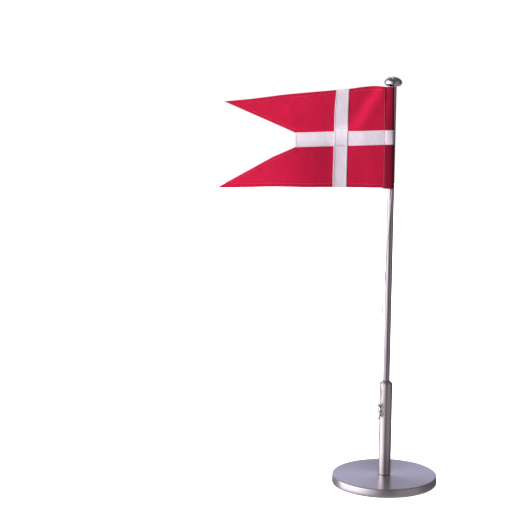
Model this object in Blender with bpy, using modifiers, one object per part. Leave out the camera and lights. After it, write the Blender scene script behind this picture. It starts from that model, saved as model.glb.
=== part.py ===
"""Desk flag stand: a round weighted foot with a post and a cleat, a mast that screws into the post,
and a swallow-tailed flag whose sleeve hangs on a halyard.

The frame is +Z up with the origin at the centre of the foot's underside. The flag flies towards -X
and -Y is the side that its face turns to. Lengths are in metres.
"""

import math

import bmesh
import bpy
from mathutils import Matrix, Vector

MM = 0.001
GAP = 0.3 * MM  # clearance between pieces that touch on the real object

# Foot
BASE_RADIUS = 50.0 * MM
BASE_HEIGHT = 8.3 * MM
BASE_EDGE = 1.3 * MM  # radius of the rounded rim
COVER_WALL = 0.9 * MM
COVER_LIFT = 0.5 * MM  # the pad holds the cover this far off the table
PAD_THICK = 1.5 * MM
BALLAST_CLEARANCE = 0.5 * MM
SCREW_HOLE_RADIUS = 2.9 * MM
COUNTERBORE_RADIUS = 6.0 * MM
BALLAST_LEDGE = 1.5 * MM  # thickness left above the counterbore

# Post
POST_RADIUS = 6.0 * MM
POST_TOP = 100.5 * MM
POST_CHAMFER = 2.4 * MM
POST_FOOT_EDGE = 0.4 * MM
SOCKET_RADIUS = 3.0 * MM
SOCKET_DEPTH = 12.5 * MM
TAPPED_RADIUS = 2.2 * MM
TAPPED_DEPTH = 13.4 * MM

# Screw that pulls the post down on the foot
SCREW_RADIUS = TAPPED_RADIUS - GAP
SCREW_HEAD_RADIUS = 4.2 * MM
SCREW_HEAD_HEIGHT = 2.2 * MM
SCREW_LENGTH = 15.7 * MM
HEX_RADIUS = 1.7 * MM
HEX_DEPTH = 1.2 * MM
WASHER_THICK = 0.7 * MM
WASHER_OUTER = 4.9 * MM
WASHER_INNER = 2.75 * MM

# Cleat, a plate that stands in a slot of the post
CLEAT_AZIMUTH = math.radians(230.0)  # the direction that the cleat points in, from +X
CLEAT_HEIGHT = 71.5 * MM
CLEAT_THICK = 1.6 * MM
CLEAT_ROOT = 2.9 * MM  # radius at which the tenon ends inside the post
CLEAT_TENON = (-3.6 * MM, 4.8 * MM)  # the tenon's foot and head, from the cleat's middle
SLOT_HEAD = 7.6 * MM  # the slot is open above the tenon

# Mast
POLE_RADIUS = 3.2 * MM
POLE_BORE = 2.2 * MM
POLE_FOOT = POST_TOP + GAP
STUD_RADIUS = SOCKET_RADIUS - GAP
STUD_PITCH = 1.0 * MM
STUD_THREAD_DEPTH = 0.35 * MM
STUD_PLUG = 11.0 * MM  # how far the stud goes up into the pole
TRUCK_UNDER = 381.7 * MM
TRUCK_RIM = 384.3 * MM
TRUCK_TOP = 390.0 * MM
TRUCK_RADIUS = 8.3 * MM
TRUCK_FLAT = 6.6 * MM  # radius of the flat underside
TRUCK_SPIGOT = 9.5 * MM
HALYARD_HOLE = 0.9 * MM
HOLE_LEFT = Vector((-4.7, -1.0, 0)) * MM
HOLE_FRONT = Vector((0.0, -5.3, 0)) * MM

# Halyard
CORD_RADIUS = 0.35 * MM
CORD_SIDES = 2  # bevel resolution
CORD_SPLIT = 101.75 * MM  # the falls end here, and the hitches on the cleat begin

# Flag. s runs from the hoist edge towards the fly and h up from the lower corner of the hoist.
FLAG_PIVOT = Vector((0.03, -5.75, 334.0)) * MM  # on the halyard, half way up the sleeve
FLAG_LEAN = math.radians(0.95)  # the sleeve's head is pulled towards the fly
FLAG_HOIST = 93.9 * MM
FLAG_BOTTOM = 287.4 * MM
FLAG_THICK = 0.8 * MM
HOIST_EDGE = 1.85 * MM  # from the halyard to the hoist edge
SLEEVE_WIDTH = 9.0 * MM
SLEEVE_BULGE = 1.8 * MM  # half thickness of the sleeve where the halyard runs
SLEEVE_WALL = 0.45 * MM
SLEEVE_OVERHANG = 0.8 * MM  # the sleeve is a little longer than the cloth below
BAND_LOW = 40.4 * MM
BAND_WIDTH = 13.2 * MM
UPRIGHT_NEAR = 42.7 * MM  # hoist edge to the near side of the upright, at mid height
UPRIGHT_WIDTH = 12.8 * MM
CROSS_SKEW = math.radians(1.4)  # the cloth's droop turns the cross by this against the hoist
HEAD_LEVEL = 14.0 * MM  # the upper edge is level for this far
HEAD_SLOPE = math.radians(5.75)  # and falls towards the fly from there
NOTCH = 91.5 * MM
TAIL_UPPER = 155.6 * MM
TAIL_LOWER = 162.3 * MM
TAIL_BEND = (112.2 * MM, 29.2 * MM)  # the lower tail's inner edge bends here
KNOT_RADIUS = 1.05 * MM
KNOT_HALF = 0.9 * MM
KNOT_INSET = 3.0 * MM  # from the sleeve's mouth to the knot

ROUND_STEPS = 48
FINE_STEPS = 24

COLOURS = {
    "satin_steel": ((0.56, 0.54, 0.56), 0.32, 1.0),
    "bright_steel": ((0.66, 0.64, 0.67), 0.12, 1.0),
    "grey_iron": ((0.16, 0.16, 0.17), 0.6, 1.0),
    "zinc": ((0.5, 0.5, 0.5), 0.35, 1.0),
    "black_foam": ((0.03, 0.03, 0.03), 0.95, 0.0),
    "white_cord": ((0.86, 0.85, 0.84), 0.8, 0.0),
    "red_cloth": ((0.52, 0.015, 0.055), 0.85, 0.0),
    "white_cloth": ((0.80, 0.78, 0.82), 0.85, 0.0),
}


def clear_scene():
    for obj in list(bpy.data.objects):
        bpy.data.objects.remove(obj, do_unlink=True)


def collection(name):
    made = bpy.data.collections.new(name)
    bpy.context.scene.collection.children.link(made)
    return made


def material(name):
    found = bpy.data.materials.get(name)
    if found:
        return found
    colour, roughness, metallic = COLOURS[name]
    made = bpy.data.materials.new(name)
    made.use_nodes = True
    shader = made.node_tree.nodes["Principled BSDF"]
    shader.inputs["Base Color"].default_value = (*colour, 1.0)
    shader.inputs["Roughness"].default_value = roughness
    shader.inputs["Metallic"].default_value = metallic
    return made


def add(name, data, finish, group, parent=None):
    obj = bpy.data.objects.new(name, data)
    data.materials.append(material(finish))
    group.objects.link(obj)
    obj.parent = parent
    return obj


def shade(mesh):
    mesh.shade_smooth()
    mesh.set_sharp_from_angle(angle=math.radians(35))


def turned(name, profile, finish, group, steps=ROUND_STEPS, parent=None):
    """A solid of revolution about Z. The profile is (radius, height) pairs that run down the outer
    side. One that starts and ends on the axis is left open there, and any other is a closed ring."""
    mesh = bpy.data.meshes.new(name)
    edges = [(i, i + 1) for i in range(len(profile) - 1)]
    if profile[0][0] > 0 or profile[-1][0] > 0:
        edges.append((len(profile) - 1, 0))
    mesh.from_pydata([(r, 0, z) for r, z in profile], edges, [])
    obj = add(name, mesh, finish, group, parent)
    screw = obj.modifiers.new("Turn", "SCREW")
    screw.axis = "Z"
    screw.angle = 2 * math.pi
    screw.steps = steps
    screw.render_steps = steps
    screw.use_merge_vertices = True
    screw.merge_threshold = 0.00001
    screw.use_smooth_shade = True
    return obj


def arc(centre, radius, start, end, count):
    """Points on an arc, from start to end in degrees, as (x, z) pairs. A pair of radii is an ellipse."""
    wide, high = radius if isinstance(radius, tuple) else (radius, radius)
    angles = [math.radians(start + (end - start) * i / count) for i in range(count + 1)]
    return [(centre[0] + wide * math.cos(a), centre[1] + high * math.sin(a)) for a in angles]


def cord(name, points, group):
    """A thin round cord on a polyline, with filled caps."""
    curve = bpy.data.curves.new(name, "CURVE")
    curve.dimensions = "3D"
    curve.bevel_depth = CORD_RADIUS
    curve.bevel_resolution = CORD_SIDES
    curve.use_fill_caps = True
    spline = curve.splines.new("POLY")
    spline.points.add(len(points) - 1)
    for point, place in zip(spline.points, points):
        point.co = (*place, 1)
    return add(name, curve, "white_cord", group)


def smooth_line(points, spacing):
    """Points on a Catmull-Rom curve through these ones, about one for each spacing of length."""
    ends = [points[0] * 2 - points[1], *points, points[-1] * 2 - points[-2]]
    line = [points[0]]
    for a, b, c, d in zip(ends, ends[1:], ends[2:], ends[3:]):
        count = max(1, round((c - b).length / spacing))
        for i in range(1, count + 1):
            t = i / count
            line.append(
                0.5 * (2 * b + (c - a) * t + (2 * a - 5 * b + 4 * c - d) * t**2)
                + 0.5 * (3 * b - a - 3 * c + d) * t**3
            )
    return line


def outline(name, loops, half_depth):
    """A flat shape from closed loops of (x, y) pairs, an inner loop being a hole, extruded both ways."""
    curve = bpy.data.curves.new(name, "CURVE")
    curve.dimensions = "2D"
    curve.fill_mode = "BOTH"
    curve.extrude = half_depth
    for loop in loops:
        spline = curve.splines.new("POLY")
        spline.points.add(len(loop) - 1)
        for point, (x, y) in zip(spline.points, loop):
            point.co = (x, y, 0, 1)
        spline.use_cyclic_u = True
    return curve


def as_mesh(name, curve, matrix):
    """The curve's solid as a welded mesh, moved by the matrix."""
    helper = bpy.data.objects.new(name, curve)
    bpy.context.scene.collection.objects.link(helper)
    graph = bpy.context.evaluated_depsgraph_get()
    mesh = bpy.data.meshes.new_from_object(helper.evaluated_get(graph))
    bpy.data.objects.remove(helper, do_unlink=True)
    mesh.name = name
    mesh.transform(matrix)
    shape = bmesh.new()
    shape.from_mesh(mesh)
    bmesh.ops.remove_doubles(shape, verts=shape.verts, dist=0.000001)
    bmesh.ops.recalc_face_normals(shape, faces=shape.faces)
    shape.to_mesh(mesh)
    shape.free()
    return mesh


def helper_object(name, mesh, group, parent=None):
    """A cutter, or a shape that a Boolean joins to a piece. It isn't a piece itself."""
    obj = bpy.data.objects.new(name, mesh)
    group.objects.link(obj)
    obj.parent = parent
    obj.hide_render = True
    obj.display_type = "WIRE"
    return obj


def boolean(obj, other, operation):
    step = obj.modifiers.new(operation.title(), "BOOLEAN")
    step.operation = operation
    step.object = other
    step.solver = "EXACT"


def cylinder_mesh(name, radius, low, high, place, sides=20):
    shape = bmesh.new()
    bmesh.ops.create_cone(
        shape, cap_ends=True, segments=sides, radius1=radius, radius2=radius, depth=high - low
    )
    bmesh.ops.translate(shape, verts=shape.verts, vec=(place.x, place.y, (low + high) / 2))
    mesh = bpy.data.meshes.new(name)
    shape.to_mesh(mesh)
    shape.free()
    return mesh


# Foot


def base_cover(group):
    top, inner = BASE_HEIGHT, BASE_RADIUS - COVER_WALL
    outer_edge = arc((BASE_RADIUS - BASE_EDGE, top - BASE_EDGE), BASE_EDGE, 90, 0, 5)
    inner_radius = BASE_EDGE - COVER_WALL
    inner_edge = arc((BASE_RADIUS - BASE_EDGE, top - BASE_EDGE), inner_radius, 0, 90, 2)
    profile = [(SCREW_HOLE_RADIUS, top), *outer_edge, (BASE_RADIUS, COVER_LIFT)]
    profile += [(inner, COVER_LIFT), *inner_edge, (SCREW_HOLE_RADIUS, top - COVER_WALL)]
    turned("base_cover", profile, "satin_steel", group, 72)


def ballast_disc(group):
    radius = BASE_RADIUS - COVER_WALL - BALLAST_CLEARANCE
    low, high = PAD_THICK + GAP, BASE_HEIGHT - COVER_WALL - GAP
    step, ledge = 0.8 * MM, high - BALLAST_LEDGE
    profile = [(SCREW_HOLE_RADIUS, high), (radius - step, high), (radius, high - step)]
    profile += [(radius, low + step), (radius - step, low), (COUNTERBORE_RADIUS, low)]
    profile += [(COUNTERBORE_RADIUS, ledge), (SCREW_HOLE_RADIUS, ledge)]
    turned("ballast_disc", profile, "grey_iron", group)


def base_pad(group):
    radius = BASE_RADIUS - COVER_WALL - 0.7 * MM
    profile = [(0, PAD_THICK), (radius, PAD_THICK), (radius, 0), (0, 0)]
    turned("base_pad", profile, "black_foam", group)


def washer_top():
    return BASE_HEIGHT - COVER_WALL - GAP - BALLAST_LEDGE - GAP


def lock_washer(group):
    high = washer_top()
    low = high - WASHER_THICK
    profile = [(WASHER_INNER, high), (WASHER_OUTER, high), (WASHER_OUTER, low), (WASHER_INNER, low)]
    turned("lock_washer", profile, "zinc", group, FINE_STEPS)


def post_screw(group, cutters):
    under = washer_top() - WASHER_THICK - GAP
    low, high = under - SCREW_HEAD_HEIGHT, under + SCREW_LENGTH
    edge = 0.3 * MM
    profile = [(0, high), (SCREW_RADIUS - edge, high), (SCREW_RADIUS, high - edge)]
    profile += [(SCREW_RADIUS, under), (SCREW_HEAD_RADIUS, under), (SCREW_HEAD_RADIUS, low + edge)]
    profile += [(SCREW_HEAD_RADIUS - edge, low), (0, low)]
    screw = turned("post_screw", profile, "zinc", group, FINE_STEPS)
    hexagon = cylinder_mesh(
        "hex_socket", HEX_RADIUS, low - 1 * MM, low + HEX_DEPTH, Vector((0, 0, 0)), 6
    )
    boolean(screw, helper_object("hex_socket", hexagon, cutters), "DIFFERENCE")


def cleat_frame():
    """Matrix that stands a drawing up in the cleat's plane: its x runs outward from the post's axis,
    its y runs up, and its origin is on the post's axis at the cleat's middle."""
    turn = Matrix.Rotation(CLEAT_AZIMUTH, 4, "Z") @ Matrix.Rotation(math.pi / 2, 4, "X")
    return Matrix.Translation((0, 0, CLEAT_HEIGHT)) @ turn


def post(group, cutters):
    top, foot = POST_TOP, BASE_HEIGHT + GAP
    lead_in = 0.2 * MM
    profile = [(0, top - SOCKET_DEPTH), (SOCKET_RADIUS, top - SOCKET_DEPTH)]
    profile += [(SOCKET_RADIUS, top - lead_in), (SOCKET_RADIUS + lead_in, top)]
    profile += [(POST_RADIUS - POST_CHAMFER, top), (POST_RADIUS, top - POST_CHAMFER)]
    profile += [(POST_RADIUS, foot + POST_FOOT_EDGE), (POST_RADIUS - POST_FOOT_EDGE, foot)]
    profile += [(TAPPED_RADIUS, foot), (TAPPED_RADIUS, foot + TAPPED_DEPTH), (0, foot + TAPPED_DEPTH)]
    piece = turned("post", profile, "satin_steel", group)
    deep, far = CLEAT_ROOT - GAP, POST_RADIUS + 2 * MM
    low, high = CLEAT_TENON[0] - GAP, SLOT_HEAD
    corners = [(deep, low), (far, low), (far, high), (deep, high)]
    slot = outline("cleat_slot", [corners], CLEAT_THICK / 2 + GAP)
    mesh = as_mesh("cleat_slot", slot, cleat_frame())
    boolean(piece, helper_object("cleat_slot", mesh, cutters), "DIFFERENCE")


def cleat(group):
    """A plate with two horns: the upper one rises and curls over at its tip, and the lower one runs
    down to a point. Its outline is in millimetres, out from the post's axis and up from its middle."""
    low, high = (z / MM for z in CLEAT_TENON)
    root = CLEAT_ROOT / MM
    curl = arc((10.3, 7.2), 0.8, 110, -15, 5)
    tip = arc((10.55, 6.0), 0.5, 0, -170, 5)
    upper = [(root, high), (6.2, high), (7.1, 5.2), (8.1, 5.95), (8.9, 7.0), (9.45, 7.7), *curl, *tip]
    upper += [(9.75, 6.35), (9.2, 5.5), (8.7, 4.3), (8.4, 3.1), (8.3, 1.6)]
    lower = [(8.3, 0.2), (8.5, -0.7), (9.1, -1.8), (9.8, -3.3), (10.3, -4.9), (10.65, -6.9)]
    lower += [(10.5, -7.3), (10.2, -7.1), (9.8, -6.0), (9.1, -4.8), (8.2, -3.8), (7.2, -3.2)]
    lower += [(6.4, -3.3), (6.2, low), (root, low)]
    loop = [(x * MM, z * MM) for x, z in upper + lower]
    flat = outline("cleat", [loop], CLEAT_THICK / 2)
    piece = add("cleat", as_mesh("cleat", flat, cleat_frame()), "bright_steel", group)
    edge = piece.modifiers.new("Edge", "BEVEL")
    edge.width = 0.18 * MM
    edge.segments = 2
    edge.angle_limit = math.radians(60)


# Mast


def pole_stud(group, parent):
    low, top = POST_TOP - SOCKET_DEPTH + 2 * GAP, POST_TOP - 0.1 * MM
    root = STUD_RADIUS - STUD_THREAD_DEPTH
    plug = POLE_BORE - GAP
    high, edge = POLE_FOOT + STUD_PLUG, 0.3 * MM
    profile = [(0, high), (plug - edge, high), (plug, high - edge), (plug, top)]
    turns = int((top - low) / STUD_PITCH)
    for turn in range(turns):
        crest = top - turn * STUD_PITCH
        profile += [(STUD_RADIUS, crest), (STUD_RADIUS, crest - 0.35 * MM), (root, crest - 0.6 * MM)]
        profile += [(root, crest - 0.75 * MM)]
    profile += [(root - edge, low), (0, low)]
    turned("pole_stud", profile, "bright_steel", group, FINE_STEPS, parent)


def pole_tube(group, parent):
    high, edge = TRUCK_UNDER - GAP, 0.25 * MM
    profile = [(POLE_BORE, high), (POLE_RADIUS - edge, high), (POLE_RADIUS, high - edge)]
    profile += [(POLE_RADIUS, POLE_FOOT + edge), (POLE_RADIUS - edge, POLE_FOOT)]
    profile += [(POLE_BORE, POLE_FOOT)]
    turned("pole_tube", profile, "bright_steel", group, ROUND_STEPS, parent)


def dome_height(x, y):
    """Height of the truck's dome over a point."""
    share = min(1.0, math.hypot(x, y) / TRUCK_RADIUS)
    return TRUCK_RIM + (TRUCK_TOP - TRUCK_RIM) * math.sqrt(1 - share**2)


def truck(group, cutters, parent):
    dome = arc((0, TRUCK_RIM), (TRUCK_RADIUS, TRUCK_TOP - TRUCK_RIM), 90, 0, 12)
    dome[0] = (0, TRUCK_TOP)
    spigot, edge = POLE_BORE - GAP, 0.3 * MM
    profile = [*dome, (TRUCK_RADIUS - 0.15 * MM, TRUCK_RIM - 0.5 * MM), (TRUCK_FLAT, TRUCK_UNDER)]
    profile += [(spigot, TRUCK_UNDER), (spigot, TRUCK_UNDER - TRUCK_SPIGOT + edge)]
    profile += [(spigot - edge, TRUCK_UNDER - TRUCK_SPIGOT), (0, TRUCK_UNDER - TRUCK_SPIGOT)]
    piece = turned("truck", profile, "bright_steel", group, ROUND_STEPS, parent)
    for name, place in (("left_hole", HOLE_LEFT), ("front_hole", HOLE_FRONT)):
        drill = cylinder_mesh(name, HALYARD_HOLE, TRUCK_UNDER - 2 * MM, TRUCK_TOP + 2 * MM, place)
        boolean(piece, helper_object(name, drill, cutters), "DIFFERENCE")


# Halyard


def sleeve_line(height):
    """The point of the halyard's front fall at a height inside the sleeve."""
    offset = -math.tan(FLAG_LEAN) * (height - FLAG_PIVOT.z)
    return Vector((FLAG_PIVOT.x + offset, FLAG_PIVOT.y, height))


def halyard_loop(group):
    """Up the left side, through the truck and over its dome, and down in front of the pole."""
    route = [Vector(p) * MM for p in [(-6.35, -5.15, 101.9), (-6.2, -4.75, 108), (-6.0, -4.4, 117)]]
    route += [Vector((-5.7, -3.62, 180)) * MM, Vector((-5.2, -2.3, 285)) * MM]
    route += [HOLE_LEFT + Vector((0, 0, z)) * MM for z in (378, 384, 388.4)]
    for share, rise in ((0.06, 0.95), (0.22, 1.05), (0.5, 0.95), (0.78, 1.05), (0.94, 0.95)):
        over = HOLE_LEFT.lerp(HOLE_FRONT, share)
        route.append(Vector((over.x, over.y, dome_height(over.x, over.y) + rise * MM)))
    route += [HOLE_FRONT + Vector((0, 0, z)) * MM for z in (388.2, 383.6)]
    route += [sleeve_line(z * MM) for z in (379, 350, 318, 289, 284.5)]
    route += [Vector(p) * MM for p in [(-1.9, -6.1, 232), (-5.1, -6.75, 168)]]
    route += [Vector(p) * MM for p in [(-5.7, -7.15, 130), (-5.75, -7.3, 101.9)]]
    cord("halyard_loop", smooth_line(route, 6 * MM), group)


def cleat_point(out, side, up):
    """A point by its distance out from the post's axis, to the side of the cleat and above its middle."""
    outward = Vector((math.cos(CLEAT_AZIMUTH), math.sin(CLEAT_AZIMUTH), 0))
    sideways = Vector((-outward.y, outward.x, 0))
    return outward * out * MM + sideways * side * MM + Vector((0, 0, CLEAT_HEIGHT + up * MM))


def halyard_hitches(group):
    """The two ends of the halyard on the cleat. The left fall goes under the lower horn, crosses the
    stem and stands out to the left. The front fall goes round both horns and crosses it last."""
    left = [(8.3, -2.0, 14), (8.5, -2.05, 9), (8.45, -2.05, 5), (8.0, -2.0, 0.5), (7.5, -1.6, -2.6)]
    left += [(7.0, -0.9, -3.75), (6.9, 0, -3.9), (7.0, 0.9, -3.75), (7.6, 1.7, -2.6), (8.5, 1.5, -0.7)]
    left += [(9.1, 0.6, 0.5), (9.2, 0, 1.1), (9.3, -1.0, 2.0), (9.7, -3.0, 3.2), (10.3, -6.6, 4.7)]
    front = [(8.7, 1.6, 18), (8.4, 2.5, 9), (8.2, 3.0, 1), (7.7, 2.7, -2.8), (7.1, 1.5, -4.45)]
    front += [(6.95, 0, -4.8), (7.1, -1.5, -4.45), (7.7, -2.8, -2.6), (7.9, -3.1, 1), (7.7, -2.7, 4.3)]
    front += [(7.1, -1.2, 5.75), (6.95, 0, 5.95), (7.1, 1.2, 5.7), (7.9, 2.0, 4.0), (9.3, 1.2, 2.4)]
    front += [(10.1, 0, 1.1), (9.8, -1.3, -0.4), (9.1, -2.4, -2.4), (8.5, -2.9, -4.1)]
    for name, start, turns in (
        ("halyard_hitch_left", Vector((-6.35, -5.15, 101.6)), left),
        ("halyard_hitch_front", Vector((-5.75, -7.3, 101.6)), front),
    ):
        cord(name, smooth_line([start * MM, *(cleat_point(*turn) for turn in turns)], 1.5 * MM), group)


def stopper_knots(group, line_frame):
    """A small knot above and one below, on the halyard inside the sleeve's mouths."""
    bore = CORD_RADIUS + GAP
    bulge = KNOT_RADIUS - bore
    ring = arc((bore, 0), (bulge, KNOT_HALF), 90, -90, 8)
    for name, height in (
        ("stopper_knot_upper", FLAG_BOTTOM + FLAG_HOIST - KNOT_INSET),
        ("stopper_knot_lower", FLAG_BOTTOM + KNOT_INSET),
    ):
        knot = turned(name, ring, "white_cord", group, 16, line_frame)
        knot.location = (0, 0, (height - FLAG_PIVOT.z) / math.cos(FLAG_LEAN))


# Flag


def flag_empty(name, group, parent=None):
    """An empty on the halyard half way up the sleeve, with its Z along the halyard."""
    frame = bpy.data.objects.new(name, None)
    group.objects.link(frame)
    frame.parent = parent
    if parent is None:
        frame.location = FLAG_PIVOT
        frame.rotation_euler = (0, -FLAG_LEAN, 0)
    return frame


def at(s, h):
    """Flag coordinates as (x, z) in the flag's frame."""
    return HOIST_EDGE - s, h + FLAG_BOTTOM - FLAG_PIVOT.z


def head(s):
    return FLAG_HOIST - math.tan(HEAD_SLOPE) * max(0.0, s - HEAD_LEVEL)


def band_edge(s, upper):
    return BAND_LOW + (BAND_WIDTH if upper else 0) - math.tan(CROSS_SKEW) * s


def upright_edge(h, far):
    """Distance from the hoist of an edge of the upright at a height."""
    middle = BAND_LOW + BAND_WIDTH / 2
    return UPRIGHT_NEAR + (UPRIGHT_WIDTH if far else 0) - math.tan(CROSS_SKEW) * (h - middle)


def corner(h, far):
    s = upright_edge(h, far)
    return s, h


def inset(loop, amount):
    """The convex loop of (s, h) pairs drawn in by an amount, which leaves the gap between panels."""
    centre = (sum(p[0] for p in loop) / len(loop), sum(p[1] for p in loop) / len(loop))
    lines = []
    for (x0, y0), (x1, y1) in zip(loop, loop[1:] + loop[:1]):
        length = math.hypot(x1 - x0, y1 - y0)
        nx, ny = (y1 - y0) / length, (x0 - x1) / length
        if nx * (centre[0] - x0) + ny * (centre[1] - y0) < 0:
            nx, ny = -nx, -ny
        lines.append((nx, ny, nx * x0 + ny * y0 + amount))
    drawn = []
    for (a, b, c), (d, e, f) in zip(lines[-1:] + lines[:-1], lines):
        below = a * e - b * d
        drawn.append(((c * e - b * f) / below, (a * f - c * d) / below))
    return drawn


def panel_mesh(name, loop):
    flat = outline(name, [[at(s, h) for s, h in inset(loop, GAP / 2)]], FLAG_THICK / 2)
    return as_mesh(name, flat, Matrix.Rotation(math.pi / 2, 4, "X"))


def sleeve_mesh(name, low, high):
    """A stretch of the sleeve: a loop of cloth, round where the halyard runs and flat at the seam."""
    seam, middle = HOIST_EDGE - SLEEVE_WIDTH, HOIST_EDGE - SLEEVE_BULGE
    flat = FLAG_THICK / 2
    lead = seam - 1.2 * MM
    outer = [(lead, flat), (seam, flat)][::-1]
    outer = arc((middle, 0), SLEEVE_BULGE, -100, 100, 14) + [(seam, flat), (lead, flat)]
    outer += [(lead, -flat), (seam, -flat)]
    hollow = SLEEVE_BULGE - SLEEVE_WALL
    inner = arc((middle, 0), hollow, -100, 100, 10) + [(seam + 1.2 * MM, 0)]
    curve = outline(name, [outer, inner], (high - low - GAP) / 2)
    rise = (low + high) / 2 + FLAG_BOTTOM - FLAG_PIVOT.z
    return as_mesh(name, curve, Matrix.Translation((0, 0, rise)))


def hoist_panel(name, finish, low, high, loop, group, cutters, frame):
    """A panel that turns round into the sleeve at its hoist side."""
    piece = add(name, sleeve_mesh(name, low, high), finish, group, frame)
    flat = helper_object(name + "_cloth", panel_mesh(name + "_cloth", loop), cutters, frame)
    boolean(piece, flat, "UNION")


def flag_panels(group, cutters, frame):
    seam = SLEEVE_WIDTH + 0.6 * MM
    low_band, high_band = BAND_LOW, BAND_LOW + BAND_WIDTH
    near_low = corner(band_edge(UPRIGHT_NEAR, False), False)
    near_high = corner(band_edge(UPRIGHT_NEAR, True), False)
    far_low = corner(band_edge(UPRIGHT_NEAR + UPRIGHT_WIDTH, False), True)
    far_high = corner(band_edge(UPRIGHT_NEAR + UPRIGHT_WIDTH, True), True)
    near_foot, far_foot = corner(0.0, False), corner(0.0, True)
    near_head = corner(head(UPRIGHT_NEAR), False)
    far_head = corner(head(UPRIGHT_NEAR + UPRIGHT_WIDTH), True)
    notch_low, notch_high = (NOTCH, band_edge(NOTCH, False)), (NOTCH, band_edge(NOTCH, True))

    loop = [(seam, band_edge(seam, True)), near_high, near_head, (HEAD_LEVEL, FLAG_HOIST)]
    loop += [(seam, FLAG_HOIST)]
    hoist_panel("red_hoist_upper", "red_cloth", high_band, FLAG_HOIST, loop, group, cutters, frame)
    loop = [(seam, 0.0), near_foot, near_low, (seam, band_edge(seam, False))]
    hoist_panel(
        "red_hoist_lower", "red_cloth", -SLEEVE_OVERHANG, low_band, loop, group, cutters, frame
    )
    loop = [(seam, band_edge(seam, False)), notch_low, notch_high, (seam, band_edge(seam, True))]
    hoist_panel("white_fly_band", "white_cloth", low_band, high_band, loop, group, cutters, frame)

    flat = {
        "white_upright_upper": [near_high, far_high, far_head, near_head],
        "white_upright_lower": [near_foot, far_foot, far_low, near_low],
        "red_fly_upper": [far_high, notch_high, (TAIL_UPPER, head(TAIL_UPPER)), far_head],
        "red_fly_lower": [far_foot, (TAIL_LOWER, 0.0), TAIL_BEND, notch_low, far_low],
    }
    for name, loop in flat.items():
        add(name, panel_mesh(name, loop), name.split("_")[0] + "_cloth", group, frame)


def build():
    clear_scene()
    group = collection("desk_flag_stand")
    cutters = collection("cutters")
    base_cover(group)
    ballast_disc(group)
    base_pad(group)
    lock_washer(group)
    post_screw(group, cutters)
    post(group, cutters)
    cleat(group)
    mast = bpy.data.objects.new("mast_frame", None)
    group.objects.link(mast)
    pole_stud(group, mast)
    pole_tube(group, mast)
    truck(group, cutters, mast)
    halyard_loop(group)
    halyard_hitches(group)
    line_frame = flag_empty("flag_line_frame", group)
    stopper_knots(group, line_frame)
    flag_panels(group, cutters, flag_empty("flag_frame", group, line_frame))
    bpy.context.view_layer.update()
    for obj in group.objects:
        if obj.type == "MESH":
            shade(obj.data)


build()
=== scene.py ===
"""Looks for the desk flag stand: satin foot and post, bright mast, twisted halyard and a sewn flag.

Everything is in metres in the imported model's frame: +Z up, the origin under the foot's centre, the
flag flying towards -X, and its face towards -Y.
"""

import math

import bmesh
import bpy
import numpy as np
from mathutils import Matrix, Vector, noise

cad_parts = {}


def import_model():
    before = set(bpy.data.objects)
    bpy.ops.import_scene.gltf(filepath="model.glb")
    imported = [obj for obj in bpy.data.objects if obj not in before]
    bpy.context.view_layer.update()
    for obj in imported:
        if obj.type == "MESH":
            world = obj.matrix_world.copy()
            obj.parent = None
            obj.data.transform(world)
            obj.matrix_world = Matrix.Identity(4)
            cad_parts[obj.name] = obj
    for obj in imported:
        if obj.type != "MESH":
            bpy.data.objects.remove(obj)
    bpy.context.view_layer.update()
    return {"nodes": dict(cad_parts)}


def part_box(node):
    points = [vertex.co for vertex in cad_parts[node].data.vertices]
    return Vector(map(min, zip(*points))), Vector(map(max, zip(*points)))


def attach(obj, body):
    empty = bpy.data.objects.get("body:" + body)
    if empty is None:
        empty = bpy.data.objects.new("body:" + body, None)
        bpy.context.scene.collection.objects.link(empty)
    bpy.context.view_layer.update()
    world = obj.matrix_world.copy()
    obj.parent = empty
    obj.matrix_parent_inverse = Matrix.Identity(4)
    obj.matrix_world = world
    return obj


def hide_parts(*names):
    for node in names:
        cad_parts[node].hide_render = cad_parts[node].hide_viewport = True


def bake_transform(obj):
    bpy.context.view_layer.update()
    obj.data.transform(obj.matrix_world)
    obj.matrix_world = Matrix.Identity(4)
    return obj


MM = 0.001

# Sizes shared with the CAD
BASE_RADIUS = 50.0 * MM
BASE_TOP = 8.3 * MM
POST_RADIUS = 6.0 * MM
POST_TOP = 100.5 * MM
SOCKET_RADIUS = 3.0 * MM
SOCKET_DEPTH = 12.5 * MM
CLEAT_AZIMUTH = math.radians(230.0)
CLEAT_HEIGHT = 71.5 * MM
CLEAT_THICK = 1.6 * MM
POLE_RADIUS = 3.2 * MM
POLE_BORE = 2.2 * MM
PLUG_RADIUS = 1.9 * MM
STUD_RADIUS = 2.7 * MM
STUD_PITCH = 1.0 * MM
TRUCK_UNDER = 381.7 * MM
TRUCK_RIM = 384.3 * MM
TRUCK_TOP = 390.0 * MM
TRUCK_RADIUS = 8.3 * MM
HALYARD_HOLE = 0.9 * MM
HOLE_LEFT = Vector((-4.7, -1.0, 0)) * MM
HOLE_FRONT = Vector((0.0, -5.3, 0)) * MM
CORD_RADIUS = 0.36 * MM
FLAG_PIVOT = Vector((0.03, -5.75, 334.0)) * MM
FLAG_LEAN = math.radians(0.95)
FLAG_BOTTOM = 287.4 * MM
GAP = 0.3 * MM  # between pieces that touch on the real object

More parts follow.
